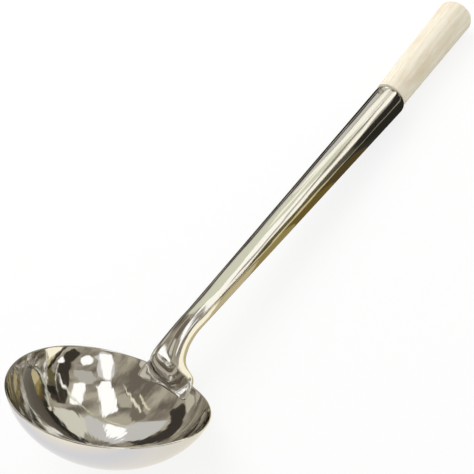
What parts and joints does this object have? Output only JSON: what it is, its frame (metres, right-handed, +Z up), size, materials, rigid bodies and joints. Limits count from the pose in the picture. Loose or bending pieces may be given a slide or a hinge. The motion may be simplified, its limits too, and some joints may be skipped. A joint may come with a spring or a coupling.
{
  "type": "soup ladle",
  "caption": "Wok-style soup ladle: round pressed steel bowl, tapered tube shank welded over the rim, and a turned wooden grip pegged into the shank's socket.",
  "frame": {"origin": "on the level surface that the ladle lies on, below the middle of its overall length", "axes": "+X from the bowl to the end of the grip, +Z up, with the ladle at rest on the back of its bowl and the end of its grip"},
  "size_m": [0.4339, 0.121, 0.0839],
  "materials": {
    "bowl_steel": "mirror-polished stainless steel sheet, not plated",
    "shank_steel": "mirror-polished stainless steel tube, not plated",
    "weld_steel": "ground and lightly polished weld bead",
    "grip_wood": "pale unvarnished hardwood, sanded smooth",
    "nail_steel": "plain steel nail, head flattened by the hammer"
  },
  "bodies": {
    "root": {"bowl": "bowl_steel", "shank": "shank_steel", "foot_weld": "weld_steel", "grip": "grip_wood", "grip_nail": "nail_steel"}
  },
  "joints": []
}
